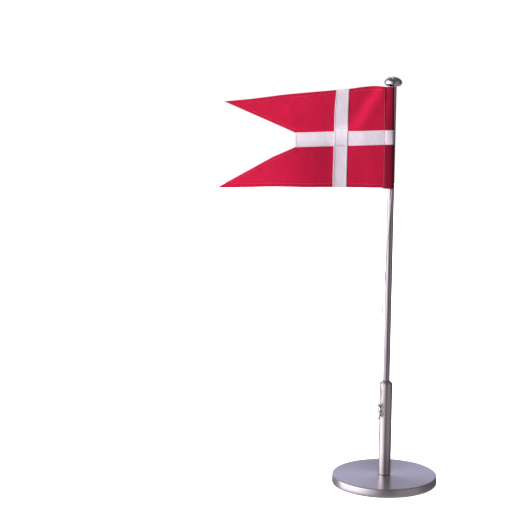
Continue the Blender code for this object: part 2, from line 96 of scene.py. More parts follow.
# The flag's cut, in mm: s runs from the hoist edge towards the fly, h up from the lower hoist corner
HOIST_EDGE = 1.85
SEAM = 9.0
NOTCH = 91.3
HEAD_LINE = [(0, 93.8), (6, 93.8), (15, 94.9), (19, 94.8), (28, 94.1), (41, 92.2), (53, 91.2)]
HEAD_LINE += [(84, 88.5), (102, 86.7), (120, 84.2), (132, 82.6), (157.0, 80.1)]
FOOT_LINE = [(0, -0.3), (9, -0.2), (44, 0.5), (60, 0.75), (84, 0.9), (98, 1.4), (120, 1.25)]
FOOT_LINE += [(132, 0.5), (164.6, -0.6)]
UPPER_TAIL = [(NOTCH, 51.5), (157.0, 80.1)]
LOWER_TAIL = [(NOTCH, 38.6), (112.2, 29.2), (164.6, -0.6)]
BAND_LOW = [(0, 40.5), (42, 39.4), (NOTCH, 38.6)]
BAND_HIGH = [(0, 53.9), (42, 52.8), (NOTCH, 51.5)]
UPRIGHT_NEAR = [(0, 43.8), (53, 42.6), (77, 42.2), (93, 41.3)]
UPRIGHT_FAR = [(0, 56.8), (53, 55.3), (77, 54.9), (93, 52.9)]
CLOTH = 0.3  # thickness
HEM = 0.27
RIBBON = 0.2
PLY_GAP = 0.02  # between one ply and the next
WEAVE_PITCH = 0.42 * MM
FLAT_SCALE = 10  # UV units for each metre of cloth
STITCH_PITCH = 1.75


# Camera and lamps


def placed(name, data):
    """A new object of this data, in the scene."""
    obj = bpy.data.objects.new(name, data)
    bpy.context.scene.collection.objects.link(obj)
    return obj


def look(name, place, forward, roll):
    """A camera at a place, looking forward, rolled about its view."""
    right = Vector((forward.y, -forward.x, 0)).normalized()
    up = right.cross(forward)
    turned = right * math.cos(roll) + up * math.sin(roll)
    risen = up * math.cos(roll) - right * math.sin(roll)
    cam = placed(name, bpy.data.cameras.new(name))
    cam.matrix_world = Matrix(
        (
            (turned.x, risen.x, -forward.x, place.x),
            (turned.y, risen.y, -forward.y, place.y),
            (turned.z, risen.z, -forward.z, place.z),
            (0, 0, 0, 1),
        )
    )
    return cam


def make_camera():
    yaw, pitch = math.radians(-3.508), math.radians(11.901)
    forward = Vector(
        (math.sin(yaw) * math.cos(pitch), math.cos(yaw) * math.cos(pitch), -math.sin(pitch))
    )
    cam = look("camera", Vector((0.0, -1.9406, 0.6220)), forward, math.radians(0.617))
    cam.data.sensor_width = 36.0
    cam.data.lens = 144.7
    cam.data.clip_start = 0.05
    bpy.context.scene.camera = cam


def area_light(name, place, target, size, power, colour):
    data = bpy.data.lights.new(name, "AREA")
    data.shape = "RECTANGLE"
    data.size, data.size_y = size
    data.energy = power
    data.color = colour
    lamp = placed(name, data)
    lamp.location = place
    lamp.rotation_mode = "QUATERNION"
    lamp.rotation_quaternion = (Vector(target) - Vector(place)).to_track_quat("-Z", "Y")
    lamp.visible_glossy = False
    return lamp


# Nodes


class Shader:
    """A material's node tree, with short calls to add nodes and link them."""

    def __init__(self, name):
        self.material = bpy.data.materials.new(name)
        self.material.use_nodes = True
        self.tree = self.material.node_tree
        self.main = self.tree.nodes["Principled BSDF"]

    def node(self, kind, settings=(), **inputs):
        made = self.tree.nodes.new(kind)
        for key, value in dict(settings).items():
            setattr(made, key, value)
        for key, value in inputs.items():
            self.put(made.inputs[key.replace("_", " ")], value)
        return made

    def put(self, socket, value):
        if isinstance(value, bpy.types.NodeSocket):
            self.tree.links.new(value, socket)
        else:
            socket.default_value = value

    def math(self, operation, a, b=0.0):
        made = self.tree.nodes.new("ShaderNodeMath")
        made.operation = operation
        self.put(made.inputs[0], a)
        self.put(made.inputs[1], b)
        return made.outputs[0]

    def times(self, a, b):
        return self.math("MULTIPLY", a, b)

    def plus(self, a, b):
        return self.math("ADD", a, b)

    def ramp(self, value, low, high, out_low=0.0, out_high=1.0):
        made = self.tree.nodes.new("ShaderNodeMapRange")
        made.interpolation_type = "SMOOTHSTEP"
        for i, item in enumerate((value, low, high, out_low, out_high)):
            self.put(made.inputs[i], item)
        return made.outputs[0]

    def mix(self, factor, a, b, blend="MIX"):
        made = self.tree.nodes.new("ShaderNodeMix")
        made.data_type = "RGBA"
        made.blend_type = blend
        self.put(made.inputs[0], factor)
        self.put(made.inputs[6], a)
        self.put(made.inputs[7], b)
        return made.outputs[2]

    def noise(self, vector, scale, detail=2.0, roughness=0.5):
        made = self.node("ShaderNodeTexNoise", Vector=vector, Scale=scale, Detail=detail)
        made.inputs["Roughness"].default_value = roughness
        return made.outputs["Fac"]

    def combine(self, x, y, z):
        return self.node("ShaderNodeCombineXYZ", X=x, Y=y, Z=z).outputs[0]

    def separate(self, vector):
        return self.node("ShaderNodeSeparateXYZ", Vector=vector).outputs

    def bump(self, height, strength, distance):
        made = self.node("ShaderNodeBump", Height=height, Strength=strength, Distance=distance)
        return made.outputs["Normal"]

    def position(self):
        return self.node("ShaderNodeTexCoord").outputs["Object"]

    def finish(self, **inputs):
        for key, value in inputs.items():
            self.put(self.main.inputs[key.replace("_", " ")], value)
        return self.material


def turned_metal(name, colour, roughness, anisotropy, grain=0.5):
    """Steel turned and brushed about Z: fine rings whose strength drifts slowly around and along."""
    sh = Shader(name)
    x, y, z = sh.separate(sh.position())
    radius = sh.math("SQRT", sh.plus(sh.times(x, x), sh.times(y, y)))
    safe = sh.plus(radius, 0.0005)
    around = sh.math("DIVIDE", x, safe)
    across = sh.math("DIVIDE", y, safe)
    along = sh.plus(radius, z)

    def rings(fineness, wander):
        return sh.combine(sh.times(along, fineness), sh.times(around, wander), sh.times(across, wander))

    lines = sh.noise(rings(5200.0, 2.2), 1.0, 3.0, 0.6)
    bands = sh.noise(rings(900.0, 0.9), 1.0, 2.0)
    smudge = sh.noise(sh.position(), 38.0, 3.0)
    rough = sh.plus(sh.ramp(lines, 0.3, 0.7, roughness * 0.86, roughness * 1.1),
                    sh.ramp(smudge, 0.4, 0.75, 0.0, 0.05))
    dark = tuple(c * (1 - 0.14 * grain) for c in colour)
    shade = sh.mix(sh.ramp(bands, 0.3, 0.7), (*dark, 1), (*colour, 1))
    tangent = sh.node("ShaderNodeTangent", {"direction_type": "RADIAL", "axis": "Z"})
    return sh.finish(
        Base_Color=shade,
        Metallic=1.0,
        Roughness=rough,
        Anisotropic=anisotropy,
        Anisotropic_Rotation=0.25,
        Tangent=tangent.outputs[0],
        Normal=sh.bump(lines, 0.18 * grain, 0.00002),
    )


def drawn_metal(name, colour, roughness):
    """Steel polished lengthways: faint long scratches and a few small handling marks."""
    sh = Shader(name)
    x, y, z = sh.separate(sh.position())
    streaks = sh.combine(sh.times(x, 2600.0), sh.times(y, 2600.0), sh.times(z, 24.0))
    lines = sh.noise(streaks, 1.0, 3.0, 0.6)
    marks = sh.noise(sh.position(), 260.0, 2.0)
    rough = sh.plus(sh.ramp(lines, 0.25, 0.75, roughness * 0.75, roughness * 1.2),
                    sh.ramp(marks, 0.6, 0.8, 0.0, 0.06))
    dark = tuple(c * 0.93 for c in colour)
    shade = sh.mix(sh.ramp(lines, 0.3, 0.7), (*dark, 1), (*colour, 1))
    return sh.finish(
        Base_Color=shade,
        Metallic=1.0,
        Roughness=rough,
        Normal=sh.bump(lines, 0.08, 0.00001),
    )


def blank_metal(name, colour, roughness, scale):
    """Cast or plated metal that shows no brushing: a fine even grain and darker hollows."""
    sh = Shader(name)
    grain = sh.noise(sh.position(), scale, 4.0, 0.6)
    dark = tuple(c * 0.7 for c in colour)
    shade = sh.mix(sh.ramp(grain, 0.35, 0.65), (*dark, 1), (*colour, 1))
    rough = sh.ramp(grain, 0.3, 0.7, roughness * 1.15, roughness * 0.85)
    return sh.finish(
        Base_Color=shade, Metallic=1.0, Roughness=rough, Normal=sh.bump(grain, 0.3, 0.00005)
    )


def foam(name):
    sh = Shader(name)
    cells = sh.node("ShaderNodeTexVoronoi", Vector=sh.position(), Scale=1500.0).outputs["Distance"]
    patch = sh.noise(sh.position(), 120.0, 3.0)
    shade = sh.mix(sh.ramp(patch, 0.3, 0.7), (0.018, 0.018, 0.019, 1), (0.034, 0.034, 0.036, 1))
    return sh.finish(
        Base_Color=shade,
        Roughness=0.93,
        Specular_IOR_Level=0.25,
        Normal=sh.bump(cells, 0.6, 0.0002),
    )


def cloth(name, colour, ply_shade, streak):
    """Plain weave. The UV map is the cloth laid flat, in metres times FLAT_SCALE. Where it is sewn
    double, an attribute up to 1 mixes in a painted shade colour for the light a second ply keeps back."""
    sh = Shader(name)
    u, v, _ = sh.separate(sh.node("ShaderNodeUVMap", {"uv_map": "flat"}).outputs[0])
    turns = 2 * math.pi / (WEAVE_PITCH * FLAT_SCALE)
    weave = sh.times(sh.math("SINE", sh.times(u, turns)), sh.math("SINE", sh.times(v, turns)))
    uneven = sh.noise(sh.combine(sh.times(u, 190.0), sh.times(v, 9.0), 0.0), 1.0, 3.0, 0.65)
    slub = sh.noise(sh.combine(sh.times(u, 7.0), sh.times(v, 150.0), 4.0), 1.0, 2.0)
    patch = sh.noise(sh.combine(u, v, 0.0), 9.0, 3.0)
    painted_ply_shade = sh.node("ShaderNodeAttribute", {"attribute_name": "painted_ply_shade"}).outputs["Fac"]
    dark = tuple(c * (1 - streak) for c in colour)
    light = tuple(min(1.0, c * (1 + streak)) for c in colour)
    shade = sh.mix(sh.ramp(uneven, 0.3, 0.7), (*dark, 1), (*light, 1))
    shade = sh.mix(sh.ramp(slub, 0.55, 0.75, 0.0, 0.35), shade, (*dark, 1))
    shade = sh.mix(sh.ramp(patch, 0.35, 0.7, 0.0, 0.25), shade, (*dark, 1))
    # painted shade: mix towards the darker second-ply colour where a second ply lies behind
    shade = sh.mix(painted_ply_shade, shade, (*ply_shade, 1))
    height = sh.plus(sh.times(weave, 0.5), sh.times(uneven, 0.7))
    return sh.finish(
        Base_Color=shade,
        Roughness=0.82,
        Specular_IOR_Level=0.22,
        Sheen_Weight=0.22,
        Sheen_Roughness=0.45,
        Sheen_Tint=(1.0, 0.86, 0.88, 1.0),
        Normal=sh.bump(height, 0.5, 0.00012),
    )


def twisted(name, colour, groove, pitch, strands=3):
    """Twisted thread: strands wind round it once for each pitch. UV is round and along, in metres.
    The groove colour is painted shade between the strands.
    """
    sh = Shader(name)
    u, v, _ = sh.separate(sh.node("ShaderNodeUVMap", {"uv_map": "flat"}).outputs[0])
    around = sh.times(u, 2 * math.pi * strands)
    along = sh.times(v, 2 * math.pi * strands / pitch)
    wave = sh.math("SINE", sh.plus(around, along))
    fuzz = sh.noise(sh.position(), 5200.0, 2.0)
    # painted shade in the grooves between strands; random fuzz darkens towards the same shade colour
    shade = sh.mix(sh.ramp(wave, -1.0, 0.1), (*groove, 1), (*colour, 1))
    shade = sh.mix(sh.ramp(fuzz, 0.45, 0.75, 0.0, 0.3), shade, (*groove, 1))
    height = sh.plus(wave, sh.times(fuzz, 0.5))
    return sh.finish(
        Base_Color=shade,
        Roughness=0.75,
        Specular_IOR_Level=0.3,
        Sheen_Weight=0.2,
        Normal=sh.bump(height, 0.7, 0.00008),
    )


# Mesh helpers


def link(name, mesh, finish, body, replaced=()):
    """A piece with its material that rides on a body, unless body is None, and stands for nodes."""
    obj = placed(name, mesh)
    mesh.materials.clear()
    mesh.materials.append(finish)
    if body:
        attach(obj, body)
    if replaced:
        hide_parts(*replaced)
    return obj


def mesh_from(name, verts, faces, uvs=None):
    """A smooth mesh in metres. uvs holds a pair for each face corner, face by face."""
    mesh = bpy.data.meshes.new(name)
    mesh.from_pydata([tuple(v) for v in verts], [], faces)
    if uvs is not None:
        layer = mesh.uv_layers.new(name="flat")
        layer.data.foreach_set("uv", np.array(uvs, np.float32).ravel())
    mesh.shade_smooth()
    return mesh


def mesh_of(shape, name):
    """Turns a bmesh's faces outwards and makes a mesh of it."""
    bmesh.ops.recalc_face_normals(shape, faces=shape.faces)
    mesh = bpy.data.meshes.new(name)
    shape.to_mesh(mesh)
    shape.free()
    return mesh


def bake_modifiers(obj, sharp):
    """Applies the object's modifiers for good, and marks edges over so many degrees as sharp."""
    finish = obj.data.materials[0]
    graph = bpy.context.evaluated_depsgraph_get()
    mesh = bpy.data.meshes.new_from_object(obj.evaluated_get(graph))
    obj.modifiers.clear()
    mesh.name = obj.name
    obj.data = mesh
    mesh.materials.clear()
    mesh.materials.append(finish)
    mesh.shade_smooth()
    mesh.set_sharp_from_angle(angle=math.radians(sharp))


def joined(parts):
    """One list of vertices, faces and corner uvs out of several."""
    verts, faces, uvs = [], [], []
    for some_verts, some_faces, some_uvs in parts:
        start = len(verts)
        verts += some_verts
        faces += [tuple(i + start for i in face) for face in some_faces]
        uvs += some_uvs
    return verts, faces, uvs


def lathe(name, profile, steps):
    """A closed solid of revolution from (radius, height) pairs in metres, down the outer side."""
    shape = bmesh.new()
    columns = []
    for i in range(steps):
        x, y = math.cos(2 * math.pi * i / steps), math.sin(2 * math.pi * i / steps)
        columns.append([shape.verts.new((r * x, r * y, z)) for r, z in profile])
    count = len(profile)
    closed = profile[0][0] > 0 or profile[-1][0] > 0
    for i in range(steps):
        a, b = columns[i], columns[(i + 1) % steps]
        for j in range(count if closed else count - 1):
            k = (j + 1) % count
            shape.faces.new((a[j], a[k], b[k], b[j]))
    bmesh.ops.remove_doubles(shape, verts=shape.verts, dist=1e-7)
    bmesh.ops.dissolve_degenerate(shape, edges=shape.edges, dist=1e-8)
    mesh = mesh_of(shape, name)
    mesh.shade_smooth()
    mesh.set_sharp_from_angle(angle=math.radians(32))
    return mesh


def arc(centre, radius, start, end, count):
    """Points on an arc between two angles in degrees. radius is one number or (wide, high)."""
    wide, high = radius if isinstance(radius, tuple) else (radius, radius)
    angles = [math.radians(start + (end - start) * i / count) for i in range(count + 1)]
    return [(centre[0] + wide * math.cos(a), centre[1] + high * math.sin(a)) for a in angles]


def smooth_line(points, spacing):
    """Points on a Catmull-Rom curve through these ones, about one for each spacing of length."""
    ends = [points[0] * 2 - points[1], *points, points[-1] * 2 - points[-2]]
    line = [points[0]]
    for a, b, c, d in zip(ends, ends[1:], ends[2:], ends[3:]):
        count = max(1, round((c - b).length / spacing))
        for i in range(1, count + 1):
            t = i / count
            line.append(
                0.5 * (2 * b + (c - a) * t + (2 * a - 5 * b + 4 * c - d) * t**2)
                + 0.5 * (3 * b - a - 3 * c + d) * t**3
            )
    return line


def tube(points, radii, sides=10, start=0.0):
    """Vertices, faces and corner uvs of a tube with rounded ends. uv is (round, metres along)."""
    if not hasattr(radii, "__len__"):
        radii = [radii] * len(points)
    first = (points[1] - points[0]).normalized()
    normal = first.orthogonal().normalized()
    tangent = first
    verts, faces, uvs, along = [], [], [], start
    lengths = []
    for i, point in enumerate(points):
        if 0 < i < len(points) - 1:
            new = (points[i + 1] - points[i - 1]).normalized()
        elif i:
            new = (points[i] - points[i - 1]).normalized()
        else:
            new = first
        normal = tangent.rotation_difference(new) @ normal
        normal = (normal - new * normal.dot(new)).normalized()
        tangent = new
        if i:
            along += (point - points[i - 1]).length
        lengths.append(along)
        other = new.cross(normal)
        for k in range(sides):
            angle = 2 * math.pi * k / sides
            verts.append(point + (normal * math.cos(angle) + other * math.sin(angle)) * radii[i])
    for i in range(len(points) - 1):
        for k in range(sides):
            m = (k + 1) % sides
            a, b = i * sides, (i + 1) * sides
            faces.append((a + k, a + m, b + m, b + k))
            u0, u1 = k / sides, (k + 1) / sides
            uvs += [(u0, lengths[i]), (u1, lengths[i]), (u1, lengths[i + 1]), (u0, lengths[i + 1])]
    for end, inner, a in ((0, 1, 0), (-1, -2, (len(points) - 1) * sides)):
        out = (points[end] - points[inner]).normalized()
        verts.append(points[end] + out * radii[end] * 0.45)
        tip = len(verts) - 1
        for k in range(sides):
            m = (k + 1) % sides
            faces.append((a + k, a + m, tip) if end else (a + m, a + k, tip))
            uvs += [(k / sides, lengths[end])] * 3
    return verts, faces, uvs


# Foot


def make_cover(satin):
    """The foot's pressed cover, open below, with a rounded edge and a hole for the post's screw."""
    edge, skin, hole = 1.3 * MM, 0.9 * MM, 2.9 * MM
    rim = arc((BASE_RADIUS - edge, BASE_TOP - edge), edge, 90, 0, 12)
    inner = arc((BASE_RADIUS - edge, BASE_TOP - edge), edge - skin, 0, 90, 4)
    profile = [(hole, BASE_TOP)]
    profile += [(r * MM, BASE_TOP) for r in (6, 12, 20, 30, 40, 45)]
    profile += [*rim, (BASE_RADIUS, 4.0 * MM), (BASE_RADIUS, 0.75 * MM), (49.85 * MM, 0.5 * MM)]
    profile += [(BASE_RADIUS - skin, 0.5 * MM), *inner, (hole, BASE_TOP - skin)]
    link("base_cover_finish", lathe("base_cover_finish", profile, 160), satin, "foot",
         ["base_cover"])


def make_post(satin):
    """The post, with the mast's socket above, the screw's hole below, and the cleat's slot."""
    top, foot = POST_TOP, BASE_TOP + GAP
    chamfer, tapped, depth = 2.4 * MM, 2.2 * MM, 13.4 * MM
    profile = [(0, top - SOCKET_DEPTH), (SOCKET_RADIUS, top - SOCKET_DEPTH)]
    profile += [(SOCKET_RADIUS, top - 0.5 * MM), (SOCKET_RADIUS + 0.35 * MM, top - 0.05 * MM)]
    shoulder = ((-chamfer - 0.15 * MM, 0), (-chamfer + 0.1 * MM, -0.12 * MM),
                (-0.22 * MM, -chamfer + 0.2 * MM), (-0.04 * MM, -chamfer - 0.1 * MM),
                (0, -chamfer - 0.4 * MM))
    profile += [(POST_RADIUS + out, top + up) for out, up in shoulder]
    profile += [(POST_RADIUS, z * MM) for z in (84, 60, 35, 9.2)]
    profile += [(POST_RADIUS - 0.12 * MM, foot + 0.14 * MM), (POST_RADIUS - 0.4 * MM, foot)]
    profile += [(tapped, foot), (tapped, foot + depth), (0, foot + depth)]
    post = link("post_finish", lathe("post_finish", profile, 96), satin, "foot", ["post"])
    half = CLEAT_THICK / 2 / MM + GAP / MM
    shape = bmesh.new()
    corners = [cleat_point(o, s, u) for o in (2.6, 8.0) for s in (-half, half) for u in (-3.9, 7.6)]
    bmesh.ops.convex_hull(shape, input=[shape.verts.new(c) for c in corners])
    cut_with(post, [placed("slot_tool", mesh_of(shape, "slot_tool"))], 32)


def make_cleat(dull):
    """The two-horned cleat, cut from plate. Its outline is out from the post's axis, and up."""
    outline = [(2.9, 4.8), (4.6, 4.8), (6.2, 4.8), (7.1, 5.2), (8.1, 5.95), (8.9, 7.0), (9.5, 7.75)]
    outline += arc((10.3, 7.2), 0.8, 100, -15, 5) + arc((10.55, 6.0), 0.5, 0, -170, 6)
    outline += [(9.75, 6.35), (9.2, 5.5), (8.7, 4.3), (8.4, 3.1), (8.3, 1.6), (8.3, 0.2)]
    outline += [(8.5, -0.7), (9.1, -1.8), (9.8, -3.3), (10.3, -4.9), (10.65, -6.9), (10.5, -7.3)]
    outline += [(10.2, -7.1), (9.8, -6.0), (9.1, -4.8), (8.2, -3.8), (7.2, -3.2), (6.4, -3.3)]
    outline += [(6.2, -3.6), (4.6, -3.6), (2.9, -3.6)]
    shape = bmesh.new()
    rings = []
    for side in (-1, 1):
        ring = [shape.verts.new(cleat_point(x, side * CLEAT_THICK / 2 / MM, z)) for x, z in outline]
        rings.append(ring)
        shape.faces.new(ring if side > 0 else ring[::-1])
    for i in range(len(outline)):
        j = (i + 1) % len(outline)
        shape.faces.new((rings[0][i], rings[0][j], rings[1][j], rings[1][i]))
    mesh = mesh_of(shape, "cleat_finish")
    cleat = link("cleat_finish", mesh, dull, "foot", ["cleat"])
    bevel = cleat.modifiers.new("Edge", "BEVEL")
    bevel.width = 0.24 * MM
    bevel.segments = 4
    bevel.angle_limit = math.radians(60)
    bevel.harden_normals = True
    mesh.shade_smooth()
    mesh.set_sharp_from_angle(angle=math.radians(75))


def cleat_point(out, side, up):
    """A point in metres from millimetres out from the post's axis, sideways, and above the middle."""
    outward = Vector((math.cos(CLEAT_AZIMUTH), math.sin(CLEAT_AZIMUTH), 0))
    sideways = Vector((-outward.y, outward.x, 0))
    return outward * out * MM + sideways * side * MM + Vector((0, 0, CLEAT_HEIGHT + up * MM))


def cut_with(obj, tools, sharp):
    """Cuts the tools out of obj for good, and removes them."""
    for tool in tools:
        cut = obj.modifiers.new("Cut", "BOOLEAN")
        cut.operation = "DIFFERENCE"
        cut.solver = "EXACT"
        cut.object = tool
    bake_modifiers(obj, sharp)
    for tool in tools:
        bpy.data.objects.remove(tool, do_unlink=True)


# Mast


def make_pole(bright):
    high, low, edge = TRUCK_UNDER - GAP, POST_TOP + GAP, 0.25 * MM
    profile = [(POLE_BORE, high), (POLE_RADIUS - edge, high)]
    profile += arc((POLE_RADIUS - edge, high - edge), edge, 75, 0, 3)
    profile += [(POLE_RADIUS, low + (high - low) * i / 8) for i in range(7, 0, -1)]
    profile += arc((POLE_RADIUS - edge, low + edge), edge, 0, -90, 4)
    profile += [(POLE_BORE, low)]
    link("pole_finish", lathe("pole_finish", profile, 72), bright, "mast", ["pole_tube"])


def dome_height(place):
    """Height of the truck's dome over a place beside the mast's axis."""
    share = min(1.0, math.hypot(place.x, place.y) / TRUCK_RADIUS)
    return TRUCK_RIM + (TRUCK_TOP - TRUCK_RIM) * math.sqrt(1 - share**2)


def make_truck(brightened_steel):
    """The domed truck with its plug below, drilled and countersunk for the halyard."""
    dome = arc((0, TRUCK_RIM), (TRUCK_RADIUS, TRUCK_TOP - TRUCK_RIM), 90, 4, 26)
    dome[0] = (0, TRUCK_TOP)
    lip = arc((TRUCK_RADIUS - 0.42 * MM, TRUCK_RIM - 0.1 * MM), 0.42 * MM, 12, -60, 5)
    profile = [*dome, *lip, (6.75 * MM, TRUCK_UNDER + 0.12 * MM), (6.5 * MM, TRUCK_UNDER)]
    profile += [(PLUG_RADIUS, TRUCK_UNDER), (PLUG_RADIUS, TRUCK_UNDER - 9.2 * MM)]
    profile += [(PLUG_RADIUS - GAP, TRUCK_UNDER - 9.5 * MM), (0, TRUCK_UNDER - 9.5 * MM)]
    truck = link("truck_finish", lathe("truck_finish", profile, 96), brightened_steel, "mast", ["truck"])
    drills = []
    for place in (HOLE_LEFT, HOLE_FRONT):
        mouth = dome_height(place)
        flare = [(0, mouth + 2 * MM), (HALYARD_HOLE + 1.9 * MM, mouth + 2 * MM)]
        flare += [(HALYARD_HOLE, mouth - 0.35 * MM), (HALYARD_HOLE, TRUCK_UNDER - 1 * MM)]
        flare += [(0, TRUCK_UNDER - 1 * MM)]
        mesh = lathe("drill", flare, 28)
        mesh.transform(Matrix.Translation(place))
        drills.append(placed("drill", mesh))
    cut_with(truck, drills, 40)


def make_stud(bright):
    """The mast's threaded end, with one helical thread, and the plug that goes up into the pole."""
    sides, steps = 40, 10
    low, top = POST_TOP - SOCKET_DEPTH + 0.6 * MM, POST_TOP - 0.1 * MM
    depth, rows = 0.36 * MM, []
    angles = [2 * math.pi * k / sides for k in range(sides)]
    count = round((top - low) / STUD_PITCH * steps)
    for i in range(count + 1):
        z = low + (top - low) * i / count
        fade = min(1.0, i / (steps * 0.6), (count - i) / (steps * 0.6))
        ring = []
        for k, angle in enumerate(angles):
            turn = (z / STUD_PITCH - k / sides) % 1.0
            groove = max(0.0, 1 - abs(turn - 0.5) * 3.0)
            r = STUD_RADIUS - depth * max(groove, 1 - fade)
            ring.append((r * math.cos(angle), r * math.sin(angle), z))
        rows.append(ring)
    for r, z in ((1.88, 100.5), (1.9, 100.9), (1.9, 111.5), (1.6, 111.8)):
        rows.append([(r * MM * math.cos(a), r * MM * math.sin(a), z * MM) for a in angles])
    verts = [v for ring in rows for v in ring]
    faces = []
    for i in range(len(rows) - 1):
        for k in range(sides):
            m = (k + 1) % sides
            a, b = i * sides, (i + 1) * sides
            faces.append((a + k, a + m, b + m, b + k))
    last = (len(rows) - 1) * sides
    faces.append(tuple(range(sides))[::-1])
    faces.append(tuple(range(last, last + sides)))
    mesh = mesh_from("pole_stud_finish", verts, faces)
    mesh.set_sharp_from_angle(angle=math.radians(50))
    link("pole_stud_finish", mesh, bright, "stud", ["pole_stud"])


# Halyard


def cord_piece(name, line, thread):
    return link(name, mesh_from(name, *tube(line, CORD_RADIUS, 12)), thread, None)


def flag_line(z):
    """The point of the front fall at a height in mm, inside the sleeve."""
    return Vector((FLAG_PIVOT.x - math.tan(FLAG_LEAN) * (z * MM - FLAG_PIVOT.z), FLAG_PIVOT.y, z * MM))


def over_truck(share, rise):
    """A point above the dome, this share of the way from the left hole to the front one."""
    over = HOLE_LEFT.lerp(HOLE_FRONT, share)
    return Vector((over.x, over.y, dome_height(over) + rise * MM))


def make_halyard(thread):
    """The line from the post up to the truck, over it, down through the sleeve, and to the cleat."""
    left = [(-6.35, -5.15, 101.9), (-6.2, -4.75, 108), (-6.0, -4.4, 117), (-5.7, -3.62, 180)]
    left = [Vector(p) * MM for p in [*left, (-5.2, -2.3, 285)]]
    left += [HOLE_LEFT + Vector((0, 0, z)) * MM for z in (378, 384, 388.4)]
    left += [over_truck(share, rise) for share, rise in
             ((0.06, 0.95), (0.22, 1.05), (0.5, 0.95), (0.78, 1.05), (0.94, 0.95))]
    left += [HOLE_FRONT + Vector((-0.42, 0.12, z)) * MM for z in (388.2, 383.6, 381.9)]
    line = smooth_line(left, 2.0 * MM)
    loop = cord_piece("halyard_over_truck", line, thread)
    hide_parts("halyard_loop")
    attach(loop, "mast")

    upper = [HOLE_FRONT + Vector((-0.42, 0.12, z)) * MM for z in (381.9, 381.2)]
    upper += [flag_line(z) for z in (379.4, 378.0)]
    piece = cord_piece("halyard_above_flag", smooth_line(upper, 0.12 * MM), thread)
    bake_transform(piece)

    inside = smooth_line([flag_line(z) for z in (378.0, 350, 318, 289)], 2.0 * MM)
    piece = cord_piece("halyard_in_sleeve", inside, thread)
    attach(piece, "flag_line")

    lower = [(-1.9, -6.1, 232), (-5.1, -6.75, 168), (-5.7, -7.15, 130), (-5.75, -7.3, 101.9)]
    lower = [flag_line(289), flag_line(284.5), *(Vector(p) * MM for p in lower)]
    line = smooth_line(lower, 2.0 * MM)
    piece = cord_piece("halyard_below_flag", line, thread)
    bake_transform(piece)

    hitch = [(8.3, -2.0, 14), (8.5, -2.05, 9), (8.45, -2.05, 5), (8.0, -2.0, 0.5), (7.5, -1.6, -2.6)]
    hitch += [(7.0, -0.9, -3.75), (6.9, 0, -3.9), (7.0, 0.9, -3.75), (7.6, 1.7, -2.6)]
    hitch += [(8.5, 1.5, -0.7), (9.1, 0.6, 0.5), (9.2, 0, 1.1), (9.3, -1.0, 2.0), (9.7, -3.0, 3.2)]
    hitch += [(10.3, -6.6, 4.7)]
    make_hitch("left", Vector((-6.35, -5.15, 101.6)) * MM, hitch, thread)
    hitch = [(8.7, 1.6, 18), (8.4, 2.5, 9), (8.2, 3.0, 1), (7.7, 2.7, -2.8), (7.1, 1.5, -4.45)]
    hitch += [(6.95, 0, -4.8), (7.1, -1.5, -4.45), (7.7, -2.8, -2.6), (7.9, -3.1, 1)]
    hitch += [(7.7, -2.7, 4.3), (7.1, -1.2, 5.75), (6.95, 0, 5.95), (7.1, 1.2, 5.7), (7.9, 2.0, 4.0)]
    hitch += [(9.3, 1.2, 2.4), (10.1, 0, 1.1), (9.8, -1.3, -0.4), (9.1, -2.4, -2.4), (8.5, -2.9, -4.1)]
    make_hitch("front", Vector((-5.75, -7.3, 101.6)) * MM, hitch, thread)


def make_hitch(side, start, turns, thread):
    """One end of the halyard, from just above the post to its frayed tail. The fall above the
    cleat is baked in place and rides on no body."""
    line = smooth_line([start, *(cleat_point(*turn) for turn in turns)], 0.7 * MM)
    split = next(i for i, p in enumerate(line) if p.z < CLEAT_HEIGHT + 9.5 * MM)
    fall, turns = line[: split + 1], line[split:]
    piece = cord_piece(f"halyard_fall_{side}", fall, thread)
    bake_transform(piece)
    end, way = turns[-1], (turns[-1] - turns[-3]).normalized()
    parts = [tube(turns, CORD_RADIUS, 12)]
    for i in range(9):
        out = Matrix.Rotation(i * 2.4, 3, way) @ way.orthogonal().normalized()
        reach = way * (0.8 + 0.5 * ((i * 5) % 7) / 7) * MM
        hair = [end + out * 0.16 * MM - way * 0.3 * MM, end + out * 0.22 * MM + reach * 0.5]
        hair.append(end + out * (0.24 + 0.05 * (i % 4)) * MM + reach)
        parts.append(tube(smooth_line(hair, 0.3 * MM), 0.05 * MM, 4))
    name = f"halyard_turns_{side}"
    link(name, mesh_from(name, *joined(parts)), thread, "foot", [f"halyard_hitch_{side}"])


def make_knots(thread):
    """An overhand knot pulled small at each mouth of the sleeve."""
    for name, node in (("knot_upper", "stopper_knot_upper"), ("knot_lower", "stopper_knot_lower")):
        low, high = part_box(node)
        middle = (Vector(low) + Vector(high)) / 2
        line = []
        for i in range(73):
            t = 2 * math.pi * i / 72
            x = math.sin(t) + 2 * math.sin(2 * t)
            y = math.cos(t) - 2 * math.cos(2 * t)
            line.append(middle + Vector((x * 0.22, y * 0.22, -math.sin(3 * t) * 0.42)) * MM)
        mesh = mesh_from(name, *tube(line, 0.3 * MM, 10))
        link(name, mesh, thread, "flag_line", [node])


# Flag


def along_line(table, s):
    """Height at s of a line of (s, h) pairs with straight runs between them."""
    return float(np.interp(s, [p[0] for p in table], [p[1] for p in table]))


def rounded(table, s, reach=9.0):
    """The line averaged over a short stretch, which rounds its corners."""
    return sum(along_line(table, s + reach * k / 4) for k in range(-4, 5)) / 9


def step(value, low, high):
    """0 below low, 1 above high, and a smooth rise between them."""
    t = min(1.0, max(0.0, (value - low) / (high - low)))
    return t * t * (3 - 2 * t)


